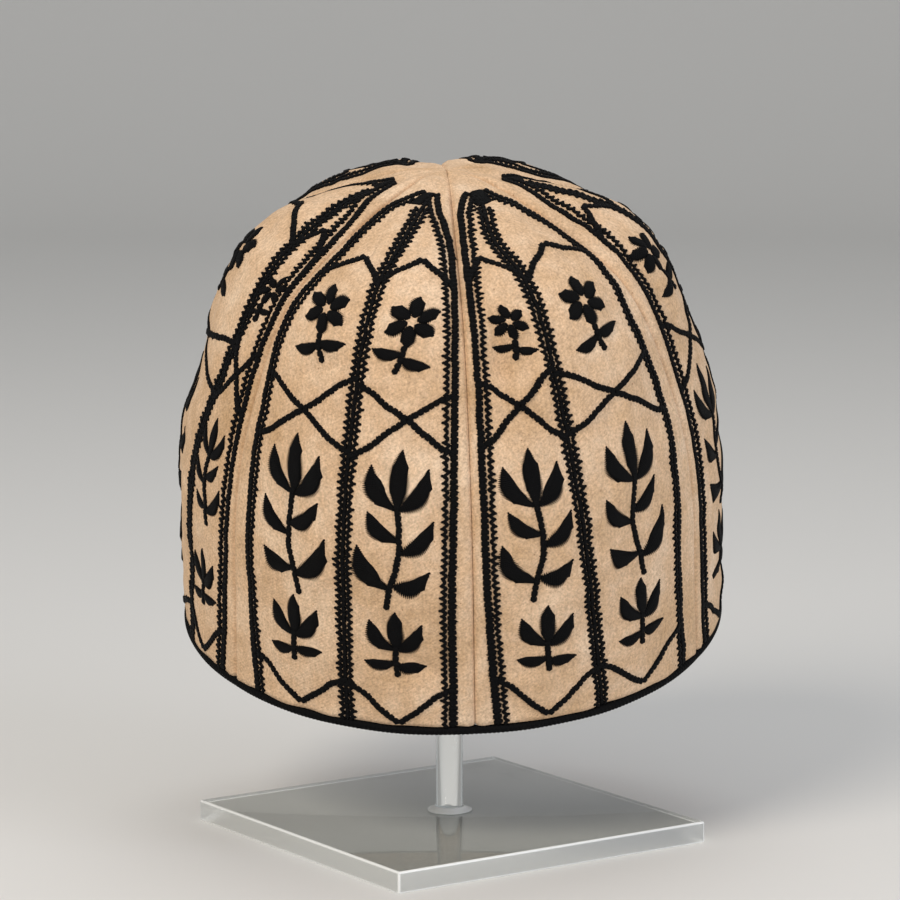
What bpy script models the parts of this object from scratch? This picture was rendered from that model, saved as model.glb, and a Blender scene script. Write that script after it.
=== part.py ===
"""Tall domed cap sewn from six cloth gores, leaning forward on a clear acrylic display stand.

Metres, +Z up, -Y towards the front. The origin is the centre of the base plate's underside.
"""

from collections import namedtuple
from math import asin, cos, hypot, pi, radians, sin

import bmesh
import bpy
from mathutils import Matrix, Vector

# Driving dimensions

CLOTH_THICKNESS = 0.0024
SEAM_GAP = 0.0003
CORD_DIAMETER = 0.0034
CLOTH_EDGE = 0.0023          # how far up the profile the cloth starts, above the cord
TIP_RADIUS = 0.0006          # where a gore's point ends, measured from where the seams meet
MEETING_BACK = 0.008         # how far behind the cap's axis the seams meet
MEETING_REACH = 0.055        # radius within which the crown is drawn back with them

LEAN_FORWARD = radians(16.7)
LEAN_LEFT = radians(0.8)
FRONT_SEAM_TURN = radians(4.3)   # how far the front seam stands round from -Y
PIVOT_ON_CAP = 0.100         # the point on the cap's axis that stands over the rod
PIVOT_HEIGHT = 0.1646        # and its height over the plate

BASE_SIDE = 0.128
BASE_THICKNESS = 0.0076
BASE_TURN = radians(34.1)
BASE_BEVEL = 0.0006
ROD_DIAMETER = 0.0096
COLLAR_OUTER_DIAMETER = 0.0162
COLLAR_HEIGHT = 0.0016
COLLAR_SHOULDER = (0.45, 0.75)   # share of the ring's width and height where its fillet turns
COLLAR_RIM = 0.3             # share of its height that stands at the outer edge
CONTACT_GAP = 0.0003

REST_RADIUS = 0.030          # how far the hidden rest reaches out under the crown
REST_CLEARANCE = 0.0006      # under the seams' inner faces
REST_EDGE = 0.004
REST_STEPS = 9               # facets from the rest's top to its edge

FACET_DEG = 5.0              # angle of one facet across a gore, and of one step of the cord
UP = 26                      # facets from hem to tip
TIP_ROW = 0.999              # grid rows past this are the gore's point
ROUND_STEPS = 32

# The crown's profile along the middle of a gore, and how deep its seams sink
Station = namedtuple("Station", "height radius seam_sink")
PROFILE = [
    Station(0.0000, 0.0957, 0.0006),
    Station(0.0300, 0.0955, 0.0014),
    Station(0.0600, 0.0950, 0.0020),
    Station(0.0850, 0.0916, 0.0024),
    Station(0.1070, 0.0852, 0.0030),
    Station(0.1260, 0.0778, 0.0038),
    Station(0.1395, 0.0690, 0.0044),
    Station(0.1478, 0.0590, 0.0046),
    Station(0.1542, 0.0460, 0.0042),
    Station(0.1589, 0.0320, 0.0033),
    Station(0.1622, 0.0180, 0.0019),
    Station(0.1643, 0.0070, 0.0007),
    Station(0.1645, 0.0000, 0.0000),
]

# The gores, named round the cap from the front seam towards +X. The seam depth is the share of
# the profile's sink that the gore's first seam has.
Gore = namedtuple("Gore", "name span_deg seam_depth")
GORES = [
    Gore("gore_1", 59.0, 1.0),
    Gore("gore_2", 61.0, 1.0),
    Gore("gore_3", 61.0, 0.6),
    Gore("gore_4", 61.0, 1.0),
    Gore("gore_5", 61.0, 0.7),
    Gore("gore_6", 57.0, 1.0),
]

# Dents and soft folds: share across the gore, height up the profile, half sizes, depth inward.
# One that crosses a seam is listed for the gores on both sides of it.
Dent = namedtuple("Dent", "gore across along half_across half_along depth")
DENTS = [
    Dent("gore_1", 0.17, 0.131, 0.16, 0.017, 0.0036),
    Dent("gore_1", 0.27, 0.117, 0.12, 0.012, -0.0012),
    Dent("gore_1", 0.62, 0.052, 0.25, 0.030, 0.0010),
    Dent("gore_2", 0.48, 0.157, 0.48, 0.036, -0.0017),
    Dent("gore_2", 0.48, 0.088, 0.40, 0.022, -0.0003),
    Dent("gore_2", 0.70, 0.050, 0.25, 0.026, 0.0012),
    Dent("gore_2", 1.00, 0.180, 0.60, 0.030, 0.0022),
    Dent("gore_3", 0.00, 0.180, 0.60, 0.030, 0.0022),
    Dent("gore_3", 0.45, 0.135, 0.30, 0.024, 0.0020),
    Dent("gore_3", 0.25, 0.050, 0.22, 0.026, 0.0012),
    Dent("gore_3", 1.00, 0.168, 0.45, 0.022, 0.0025),
    Dent("gore_4", 0.00, 0.168, 0.45, 0.022, 0.0025),
    Dent("gore_4", 0.60, 0.120, 0.26, 0.022, 0.0022),
    Dent("gore_4", 0.75, 0.035, 0.20, 0.020, 0.0012),
    Dent("gore_5", 0.40, 0.157, 0.40, 0.036, -0.0023),
    Dent("gore_5", 0.38, 0.097, 0.38, 0.022, 0.0024),
    Dent("gore_6", 0.37, 0.124, 0.24, 0.012, 0.0014),
    Dent("gore_6", 0.79, 0.023, 0.18, 0.014, 0.0012),
]

# Colours, roughness and metallic values
Finish = namedtuple("Finish", "name colour roughness metallic alpha")
CLOTH = Finish("tan_brushed_cotton", (0.58, 0.40, 0.24), 0.9, 0.0, 1.0)
THREAD = Finish("black_cotton_thread", (0.008, 0.008, 0.010), 0.75, 0.0, 1.0)
ACRYLIC = Finish("clear_acrylic", (0.92, 0.94, 0.95), 0.06, 0.0, 0.35)


# Small helpers

def clear_scene():
    """Remove whatever the file holds."""
    for item in list(bpy.data.objects):
        bpy.data.objects.remove(item, do_unlink=True)


def collection(name):
    """A new collection in the scene."""
    made = bpy.data.collections.new(name)
    bpy.context.scene.collection.children.link(made)
    return made


def material(finish, owner):
    """A Principled material of the part's own."""
    made = bpy.data.materials.new(f"{owner}_{finish.name}")
    made.use_nodes = True
    shader = made.node_tree.nodes["Principled BSDF"]
    shader.inputs["Base Color"].default_value = (*finish.colour, 1.0)
    shader.inputs["Roughness"].default_value = finish.roughness
    shader.inputs["Metallic"].default_value = finish.metallic
    shader.inputs["Alpha"].default_value = finish.alpha
    made.diffuse_color = (*finish.colour, finish.alpha)
    return made


def add_object(name, data, finish, group):
    """Link a mesh or curve as a named sub-part with its material."""
    made = bpy.data.objects.new(name, data)
    data.materials.append(material(finish, name))
    if isinstance(data, bpy.types.Mesh):
        data.shade_smooth()
    group.objects.link(made)
    return made


def smooth_value(x, xs, ys):
    """The value at x of a smooth curve through the points (xs, ys)."""
    last = len(xs) - 1
    i = max(0, min(last - 1, sum(1 for known in xs if known <= x) - 1))

    def slope(k):
        low, high = max(0, k - 1), min(last, k + 1)
        if low == k or high == k:
            return (ys[high] - ys[low]) / (xs[high] - xs[low])
        before = (ys[k] - ys[low]) / (xs[k] - xs[low])
        after = (ys[high] - ys[k]) / (xs[high] - xs[k])
        left, right = xs[k] - xs[low], xs[high] - xs[k]
        return (before * right + after * left) / (left + right)

    width = xs[i + 1] - xs[i]
    t = (x - xs[i]) / width
    return (
        (2 * t**3 - 3 * t**2 + 1) * ys[i]
        + (t**3 - 2 * t**2 + t) * width * slope(i)
        + (3 * t**2 - 2 * t**3) * ys[i + 1]
        + (t**3 - t**2) * width * slope(i + 1)
    )


# The crown's form

def profile_lengths():
    """Distance along the profile from the hem to each station."""
    lengths = [0.0]
    for low, high in zip(PROFILE, PROFILE[1:]):
        step = Vector((high.radius - low.radius, high.height - low.height)).length
        lengths.append(lengths[-1] + step)
    return lengths


LENGTHS = profile_lengths()
PROFILE_LENGTH = LENGTHS[-1]
NORMAL_STEP = 0.0005         # distance along the profile over which its slope is taken
HEIGHTS = [station.height for station in PROFILE]
RADII = [station.radius for station in PROFILE]
SINKS = [station.seam_sink for station in PROFILE]


def gore_start(index):
    """Angle of a gore's first seam, from -Y towards +X."""
    return FRONT_SEAM_TURN + radians(sum(gore.span_deg for gore in GORES[:index]))


def profile_point(along):
    """Radius, height and outward normal (radial, up) at a distance along the profile."""
    low, high = max(0.0, along - NORMAL_STEP), min(PROFILE_LENGTH, along + NORMAL_STEP)
    radius, height = (smooth_value(along, LENGTHS, values) for values in (RADII, HEIGHTS))
    run = smooth_value(high, LENGTHS, RADII) - smooth_value(low, LENGTHS, RADII)
    rise = smooth_value(high, LENGTHS, HEIGHTS) - smooth_value(low, LENGTHS, HEIGHTS)
    normal = Vector((rise, -run)).normalized()
    return radius, height, normal


def seam_depth(index, across, along):
    """How far a gore's surface sinks towards its nearer seam at a place on it."""
    share = GORES[index if across < 0.5 else (index + 1) % len(GORES)].seam_depth
    return share * smooth_value(along, LENGTHS, SINKS) * (2 * across - 1) ** 2


def dent_depth(gore_name, across, along):
    """How far a gore's dents press in at a place on it."""
    depth = 0.0
    for dent in DENTS:
        if dent.gore != gore_name:
            continue
        u = (across - dent.across) / dent.half_across
        v = (along - dent.along) / dent.half_along
        reach = u * u + v * v
        if reach < 1.0:
            depth += dent.depth * (1.0 - reach) ** 2
    return depth


def dome_height(radius):
    """The plain profile's height at a radius."""
    return smooth_value(radius, RADII[::-1], HEIGHTS[::-1])


def drawn_back(place):
    """A place near the crown's top, slid back over the dome as its seams meet behind the axis."""
    radius = hypot(place.x, place.y)
    if radius >= MEETING_REACH:
        return place
    back = MEETING_BACK * (1 - (radius / MEETING_REACH) ** 2) ** 2
    rise = dome_height(hypot(place.x, place.y + back)) - dome_height(radius)
    return place + Vector((0, back, rise))


def crown_point(index, across, along, inward=0.0):
    """A point of the crown on the cap's own axes; across runs 0 to 1 over a gore's outer face."""
    gore = GORES[index]
    radius, height, normal = profile_point(along)
    depth = seam_depth(index, across, along) + dent_depth(gore.name, across, along) + inward
    radius -= normal.x * depth
    height -= normal.y * depth
    half_gap = asin(min(0.5, SEAM_GAP / 2 / max(radius, TIP_RADIUS / 2)))
    span = radians(gore.span_deg) - 2 * half_gap
    angle = gore_start(index) + half_gap + span * across
    return drawn_back(Vector((radius * sin(angle), -radius * cos(angle), height)))


def cap_placement():
    """From the cap's own axes to its place on the stand."""
    stand_top = Vector((0, 0, BASE_THICKNESS + PIVOT_HEIGHT))
    lean = Matrix.Rotation(-LEAN_LEFT, 4, "Y") @ Matrix.Rotation(LEAN_FORWARD, 4, "X")
    return Matrix.Translation(stand_top) @ lean @ Matrix.Translation((0, 0, -PIVOT_ON_CAP))


# The sub-parts

def make_gore(index, group):
    """One cloth gore, from hem to tip, as a wall that stays between its two seams.

    A flat grid is extruded to a slab one unit thick. Its x, y and z then become the way
    across the gore, the way up it and the way through the cloth.
    """
    wall = bmesh.new()
    columns = round(GORES[index].span_deg / FACET_DEG)
    bmesh.ops.create_grid(wall, x_segments=columns, y_segments=UP, size=1.0)
    grown = bmesh.ops.extrude_face_region(wall, geom=wall.faces[:])
    inner = [item for item in grown["geom"] if isinstance(item, bmesh.types.BMVert)]
    bmesh.ops.translate(wall, verts=inner, vec=(0, 0, -1))
    tips = [[v for v in wall.verts if v.co.y > TIP_ROW and v.co.z == level] for level in (0, -1)]
    for tip in tips:
        bmesh.ops.pointmerge(wall, verts=tip, merge_co=(0, 1, tip[0].co.z))
    length = PROFILE_LENGTH - TIP_RADIUS - CLOTH_EDGE
    for vertex in wall.verts:
        across = (vertex.co.x + 1) / 2
        along = CLOTH_EDGE + length * (vertex.co.y + 1) / 2
        vertex.co = crown_point(index, across, along, -vertex.co.z * CLOTH_THICKNESS)
    bmesh.ops.recalc_face_normals(wall, faces=wall.faces)
    mesh = bpy.data.meshes.new(GORES[index].name)
    wall.to_mesh(mesh)
    wall.free()
    made = add_object(GORES[index].name, mesh, CLOTH, group)
    mesh.set_sharp_from_angle(angle=pi / 3)
    return made


def make_hem_cord(group):
    """The overcast cord round the lower edge, as a closed tube under the cloth's edge."""
    curve = bpy.data.curves.new("hem_cord", "CURVE")
    curve.dimensions = "3D"
    curve.bevel_depth = CORD_DIAMETER / 2
    curve.bevel_resolution = 2
    centre_height = CLOTH_EDGE - CONTACT_GAP - CORD_DIAMETER / 2
    places = []
    for index, gore in enumerate(GORES):
        steps = round(gore.span_deg / FACET_DEG)
        for step in range(steps):
            place = crown_point(index, step / steps, CLOTH_EDGE)
            place -= Vector((place.x, place.y, 0)).normalized() * CLOTH_THICKNESS / 2
            place.z = centre_height
            places.append(place)
    spline = curve.splines.new("POLY")
    spline.points.add(len(places) - 1)
    spline.use_cyclic_u = True
    for point, place in zip(spline.points, places):
        point.co = (*place, 1.0)
    return add_object("hem_cord", curve, THREAD, group)


def turned(name, outline, finish, group):
    """A solid of revolution about Z; the outline runs down its outer side, (radius, height)."""
    mesh = bpy.data.meshes.new(name)
    points = [(radius, 0.0, height) for radius, height in outline]
    edges = [(i, i + 1) for i in range(len(points) - 1)]
    is_ring = outline[0][0] > 0 and outline[-1][0] > 0
    if is_ring:
        edges.append((len(points) - 1, 0))
    mesh.from_pydata(points, edges, [])
    made = add_object(name, mesh, finish, group)
    screw = made.modifiers.new("turn", "SCREW")
    screw.steps = screw.render_steps = ROUND_STEPS
    screw.use_merge_vertices = True
    screw.merge_threshold = 0.0001
    return made


def rest_outline():
    """The hidden rest's outline: a dome that lies just under the seams, with a flat underside."""
    outline = []
    for step in range(REST_STEPS + 1):
        along = PROFILE_LENGTH - REST_RADIUS * step / REST_STEPS
        radius, height, normal = profile_point(along)
        sink = smooth_value(along - MEETING_BACK, LENGTHS, SINKS)
        depth = sink + CLOTH_THICKNESS + REST_CLEARANCE
        outline.append((max(0.0, radius - normal.x * depth), height - normal.y * depth))
    edge_radius, edge_height = outline[-1]
    underside = edge_height - REST_EDGE
    return outline + [(edge_radius, underside), (0.0, underside)], underside


def make_crown_rest(group):
    """The plain dome that carries the crown from inside, hidden by the cloth."""
    outline, underside = rest_outline()
    made = turned("crown_rest", outline, ACRYLIC, group)
    return made, underside


def make_post(group, underside):
    """The rod, its top mitred to the leaning rest's underside."""
    rod = bmesh.new()
    bmesh.ops.create_cone(
        rod, cap_ends=True, segments=ROUND_STEPS,
        radius1=ROD_DIAMETER / 2, radius2=ROD_DIAMETER / 2, depth=1.0,
    )
    placement = cap_placement()
    on_plane = placement @ Vector((0, 0, underside - CONTACT_GAP))
    normal = (placement.to_3x3() @ Vector((0, 0, 1))).normalized()
    foot = BASE_THICKNESS + CONTACT_GAP
    for vertex in rod.verts:
        if vertex.co.z < 0:
            vertex.co.z = foot
        else:
            away = (vertex.co.x - on_plane.x) * normal.x + (vertex.co.y - on_plane.y) * normal.y
            vertex.co.z = on_plane.z - away / normal.z
    mesh = bpy.data.meshes.new("stand_post")
    rod.to_mesh(mesh)
    rod.free()
    made = add_object("stand_post", mesh, ACRYLIC, group)
    made.data.set_sharp_from_angle(angle=pi / 6)
    return made


def make_collar(group):
    """The thin ring of cement round the rod's foot."""
    inner = ROD_DIAMETER / 2 + CONTACT_GAP
    outer = COLLAR_OUTER_DIAMETER / 2
    low = BASE_THICKNESS + CONTACT_GAP
    shoulder_out, shoulder_up = COLLAR_SHOULDER
    outline = [
        (inner, low + COLLAR_HEIGHT),
        (inner + (outer - inner) * shoulder_out, low + COLLAR_HEIGHT * shoulder_up),
        (outer, low + COLLAR_HEIGHT * COLLAR_RIM),
        (outer, low),
        (inner, low),
    ]
    return turned("post_collar", outline, ACRYLIC, group)


def make_base(group):
    """The square plate with slightly broken edges."""
    bpy.ops.mesh.primitive_cube_add(size=1.0)
    made = bpy.context.object
    made.name = "stand_base"
    made.data.name = "stand_base"
    made.data.transform(Matrix.Diagonal((BASE_SIDE, BASE_SIDE, BASE_THICKNESS, 1.0)))
    made.location = (0, 0, BASE_THICKNESS / 2)
    made.rotation_euler = (0, 0, BASE_TURN)
    made.data.materials.append(material(ACRYLIC, "stand_base"))
    for owner in list(made.users_collection):
        owner.objects.unlink(made)
    group.objects.link(made)
    edge = made.modifiers.new("edge", "BEVEL")
    edge.width = BASE_BEVEL
    edge.segments = 1
    return made


def main():
    """Build the cap and its stand."""
    clear_scene()
    group = collection("dervish_cap_on_stand")
    cap = bpy.data.objects.new("cap", None)
    group.objects.link(cap)
    cap.matrix_world = cap_placement()
    cap_pieces = [make_gore(index, group) for index in range(len(GORES))]
    cap_pieces.append(make_hem_cord(group))
    rest, underside = make_crown_rest(group)
    cap_pieces.append(rest)
    for piece in cap_pieces:
        piece.parent = cap
    make_post(group, underside)
    make_collar(group)
    make_base(group)


main()
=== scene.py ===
"""The looks of a tall domed cloth cap, stitched all over in black, on a clear acrylic stand.

Sizes are in metres unless a docstring says millimetres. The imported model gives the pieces'
places, and this script gives them their cloth, stitching, cord and acrylic.
"""

import logging
import math
from dataclasses import dataclass, field
from enum import Enum

import bmesh
import bpy
import numpy as np
from bpy.types import Material, Node, NodeSocket, NodeTree, Object
from mathutils import Matrix, Vector
from numpy.random import Generator, default_rng


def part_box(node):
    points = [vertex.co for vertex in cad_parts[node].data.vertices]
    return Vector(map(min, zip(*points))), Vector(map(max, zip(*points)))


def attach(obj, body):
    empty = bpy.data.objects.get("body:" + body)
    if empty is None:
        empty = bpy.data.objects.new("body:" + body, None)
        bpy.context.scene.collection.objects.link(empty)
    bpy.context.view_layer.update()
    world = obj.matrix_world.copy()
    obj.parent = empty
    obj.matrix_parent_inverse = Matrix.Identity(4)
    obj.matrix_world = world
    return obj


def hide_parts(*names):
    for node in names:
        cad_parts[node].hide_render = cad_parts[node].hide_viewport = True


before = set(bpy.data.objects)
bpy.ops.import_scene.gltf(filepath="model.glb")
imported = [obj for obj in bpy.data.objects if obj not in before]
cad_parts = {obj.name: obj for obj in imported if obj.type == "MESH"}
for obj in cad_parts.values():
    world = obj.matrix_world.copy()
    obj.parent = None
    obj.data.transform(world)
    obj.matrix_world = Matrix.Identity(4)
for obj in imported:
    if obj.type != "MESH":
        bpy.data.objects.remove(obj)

LOG = logging.getLogger("cap")
MM = 0.001
BODY = "root"
TINY = 1e-9                  # keeps a division by a length of nought from failing
RANGE = ("Value", "From Min", "From Max", "To Min", "To Max")    # the inputs of a range node
Array = np.ndarray
Pair = tuple[float, float]
Three = tuple[float, float, float]


# Small helpers

def linear(hex_colour: str) -> tuple[float, float, float, float]:
    """Turn an sRGB hex colour into a linear RGBA colour.

    Args:
        hex_colour: Six hex digits after a hash sign.

    Returns:
        The colour's linear red, green and blue, and an alpha of one.
    """
    values = [int(hex_colour[i:i + 2], 16) / 255 for i in (1, 3, 5)]
    bent = [v / 12.92 if v <= 0.04045 else ((v + 0.055) / 1.055) ** 2.4 for v in values]
    return (*bent, 1.0)


def add_node(tree: NodeTree, kind: str, inputs: dict, out: int | str = 0) -> NodeSocket:
    """Add a shader node.

    Args:
        tree: The material's node tree.
        kind: The shader node's type name, without its prefix.
        inputs: Its attributes, and its inputs' values or the sockets that feed them, by name
            or number.
        out: The output wanted, by name or number.

    Returns:
        That output.
    """
    made = tree.nodes.new(f"ShaderNode{kind}")
    for name, value in inputs.items():
        if isinstance(name, str) and hasattr(made, name):
            setattr(made, name, value)
        elif isinstance(value, NodeSocket):
            tree.links.new(value, made.inputs[name])
        else:
            made.inputs[name].default_value = value
    return made.outputs[out]


def new_material(name: str) -> tuple[Material, NodeTree, Node]:
    """Make an empty Principled material.

    Args:
        name: The material's name.

    Returns:
        The material, its node tree and its Principled shader.
    """
    made = bpy.data.materials.new(name)
    made.use_nodes = True
    tree = made.node_tree
    return made, tree, tree.nodes["Principled BSDF"]


def in_scene(name: str, data: bpy.types.ID) -> Object:
    """Put an object made of this data in the scene."""
    made = bpy.data.objects.new(name, data)
    bpy.context.scene.collection.objects.link(made)
    return made


def mesh_object(
    name: str, points: Array, faces: Array, material: Material, uvs: Array | None = None
) -> Object:
    """Make a smooth mesh object from points and quads.

    Args:
        name: The object's name.
        points: Vertex places, one row each.
        faces: Vertex numbers of the quads, one row each; a repeated last number is a triangle.
        material: The finish.
        uvs: One texture place for each vertex, in metres, if the finish needs it.

    Returns:
        The new object, in the scene.
    """
    mesh = bpy.data.meshes.new(name)
    rows = [tuple(row[:3]) if row[2] == row[3] else tuple(row) for row in faces.tolist()]
    mesh.from_pydata(points.tolist(), [], rows)
    mesh.shade_smooth()
    mesh.materials.append(material)
    if uvs is not None:
        layer = mesh.uv_layers.new(name="cloth_metres")
        corner = np.empty(len(mesh.loops), dtype=np.int64)
        mesh.loops.foreach_get("vertex_index", corner)
        layer.data.foreach_set("uv", uvs[corner].astype(np.float32).ravel())
    return in_scene(name, mesh)


def grid_faces(
    rows: int, columns: int, first: int = 0, closed: bool = False, looped: bool = False
) -> Array:
    """Number the quads of a grid of vertices stored row by row.

    Args:
        rows: How many rows of vertices.
        columns: How many vertices in a row.
        first: The number of the grid's first vertex.
        closed: Whether each row closes on itself.
        looped: Whether the last row joins the first.

    Returns:
        One row of four vertex numbers for each quad.
    """
    down, round_it = rows - 1 + looped, columns - 1 + closed
    row, column = np.meshgrid(np.arange(down), np.arange(round_it), indexing="ij")
    following = (column + 1) % columns
    low, high = first + row * columns, first + (row + 1) % rows * columns
    quads = np.stack([low + column, low + following, high + following, high + column], axis=-1)
    return quads.reshape(-1, 4)


def finish_piece(piece: Object, slot: str, *nodes: str) -> Object:
    """Tie a piece to the part's body and hide the nodes that it stands for.

    Args:
        piece: The finished object.
        slot: The record's material slot; not used.
        *nodes: Nodes that the piece replaces.

    Returns:
        The same object.
    """
    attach(piece, BODY)
    if nodes:
        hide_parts(*nodes)
    LOG.info("%s: %d faces", piece.name, len(piece.data.polygons))
    return piece


def run_along(path: Array) -> Array:
    """How far along a path each of its points lies."""
    steps = np.linalg.norm(np.diff(path, axis=0), axis=1)
    return np.concatenate([[0.0], np.cumsum(steps)])


def read_path(path: Array, wanted: Array) -> Array:
    """A path's places at distances along it."""
    run = run_along(path)
    return np.stack([np.interp(wanted, run, column) for column in path.T], axis=1)


def smooth_through(known_at: Array, known: Array, at: Array) -> Array:
    """Read a smooth curve through known values.

    Args:
        known_at: Where the values are known, rising.
        known: The values.
        at: Where the curve is read.

    Returns:
        The curve's value at each place.
    """
    known_at, known = np.asarray(known_at, float), np.asarray(known, float)
    gaps = np.diff(known_at)
    rates = np.diff(known) / gaps
    inner = (rates[:-1] * gaps[1:] + rates[1:] * gaps[:-1]) / (gaps[:-1] + gaps[1:])
    slope = np.concatenate([[rates[0]], inner, [rates[-1]]])
    i = np.clip(np.searchsorted(known_at, at, side="right") - 1, 0, len(gaps) - 1)
    t = (at - known_at[i]) / gaps[i]
    return (
        (2 * t**3 - 3 * t**2 + 1) * known[i] + (t**3 - 2 * t**2 + t) * gaps[i] * slope[i]
        + (3 * t**2 - 2 * t**3) * known[i + 1] + (t**3 - t**2) * gaps[i] * slope[i + 1]
    )


# Finishes

@dataclass(frozen=True)
class BrushedCotton:
    """Heavy cotton twill, brushed on its face to a short suede-like nap.

    The nap scatters light, so the cloth is dull with a soft edge glow, and years of handling
    leave it mottled in a warm tan with a few brown specks. The mottling also carries painted
    light: at random it runs from a painted shade through the cloth's own tan to a painted
    highlight.
    """

    # painted shade, the cloth's own tan and a painted highlight, mixed at random by the mottle
    shade: str = "#b7956f"
    body: str = "#ccac8b"
    painted_highlight: str = "#ddc3a7"
    speck: str = "#7c5936"
    roughness: float = 0.92
    ior: float = 1.46
    blotch: float = 34 * MM
    mottle: float = 8 * MM
    slub: Pair = (1.1 * MM, 16 * MM)
    grain: float = 0.9 * MM
    twill: float = 1.0 * MM      # real twill lines lie 0.5 mm apart; drawn coarser so they show
    speck_spacing: float = 6 * MM
    nap_height: float = 0.22 * MM
    slub_tones: Pair = (0.95, 1.05)
    grain_tones: Pair = (0.68, 1.30)
    tone_steps: Three = (0.30, 0.50, 0.70)
    twill_turn: float = math.radians(58)
    blotch_share: float = 0.55          # the rest of the tone comes from the finer mottle
    speck_size: Pair = (0.03, 0.055)    # shares of their spacing
    speck_strength: float = 0.75
    twill_relief: float = 0.35   # shares of the grain's relief
    slub_relief: float = 0.40
    bump: float = 0.75
    sheen: Pair = (0.22, 0.55)
    gloss: float = 0.25

    def build(self) -> Material:
        """Make the material."""
        made, tree, shader = new_material("brushed_cotton_twill")
        solid = add_node(tree, "TexCoord", {}, "Object")
        flat = solid.node.outputs["UV"]
        blotch, mottle, grain = (
            add_node(tree, "TexNoise", {
                "Scale": 1 / length, "Detail": detail, "Roughness": rough, "Vector": solid,
            })
            for length, detail, rough in (
                (self.blotch, 3.0, 0.5), (self.mottle, 5.0, 0.6), (self.grain, 4.0, 0.7),
            )
        )
        threads = add_node(tree, "Mapping", {
            "Scale": (1 / self.slub[0], 1 / self.slub[1], 1.0), "Vector": flat,
        })
        slub = add_node(tree, "TexNoise", {"Scale": 1.0, "Detail": 2.0, "Vector": threads})
        turned = add_node(tree, "Mapping", {"Rotation": (0.0, 0.0, self.twill_turn), "Vector": flat})
        twill = add_node(tree, "TexWave", {
            "Scale": math.pi / 10 / self.twill, "Distortion": 2.4, "Detail": 2.0,
            "Detail Scale": 0.6, "bands_direction": "X", "Vector": turned,
        }, "Fac")
        broad = add_node(tree, "Math", {"operation": "MULTIPLY", 0: blotch, 1: self.blotch_share})
        mixed = add_node(tree, "Math", {
            "operation": "MULTIPLY_ADD", 0: mottle, 1: 1 - self.blotch_share, 2: broad,
        })
        # the tone runs at random from painted shade through the tan to painted highlight
        tone = add_node(tree, "ValToRGB", {"Fac": mixed})
        steps = tone.node.color_ramp.elements
        low, middle, high = self.tone_steps
        steps[0].position, steps[0].color = low, linear(self.shade)
        steps[1].position, steps[1].color = high, linear(self.painted_highlight)
        steps.new(middle).color = linear(self.body)
        streak = add_node(tree, "MapRange", dict(zip(RANGE, (slub, 0.3, 0.7, *self.slub_tones))))
        fine = add_node(tree, "MapRange", dict(zip(RANGE, (grain, 0.3, 0.7, *self.grain_tones))))
        both = add_node(tree, "Math", {"operation": "MULTIPLY", 0: streak, 1: fine})
        toned = add_node(tree, "Mix", {
            "data_type": "RGBA", "blend_type": "MULTIPLY", 0: 1.0, 6: tone, 7: both,
        }, 2)
        away = add_node(tree, "TexVoronoi", {
            "Scale": 1 / self.speck_spacing, "Randomness": 1.0, "Vector": solid,
        }, "Distance")
        reach = (away, *self.speck_size, self.speck_strength, 0.0)
        speck = add_node(tree, "MapRange", dict(zip(RANGE, reach)))
        specked = add_node(tree, "Mix", {
            "data_type": "RGBA", 0: speck, 6: toned, 7: linear(self.speck),
        }, 2)
        weave = add_node(tree, "Math", {
            "operation": "MULTIPLY_ADD", 0: twill, 1: self.twill_relief, 2: grain,
        })
        nap = add_node(tree, "Math", {
            "operation": "MULTIPLY_ADD", 0: slub, 1: self.slub_relief, 2: weave,
        })
        relief = add_node(tree, "Bump", {
            "Strength": self.bump, "Distance": self.nap_height, "Height": nap,
        })
        tree.links.new(specked, shader.inputs["Base Color"])
        tree.links.new(relief, shader.inputs["Normal"])
        shader.inputs["Roughness"].default_value = self.roughness
        shader.inputs["IOR"].default_value = self.ior
        shader.inputs["Specular IOR Level"].default_value = self.gloss
        shader.inputs["Sheen Weight"].default_value = self.sheen[0]
        shader.inputs["Sheen Roughness"].default_value = self.sheen[1]
        shader.inputs["Sheen Tint"].default_value = linear(self.painted_highlight)
        return made


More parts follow.
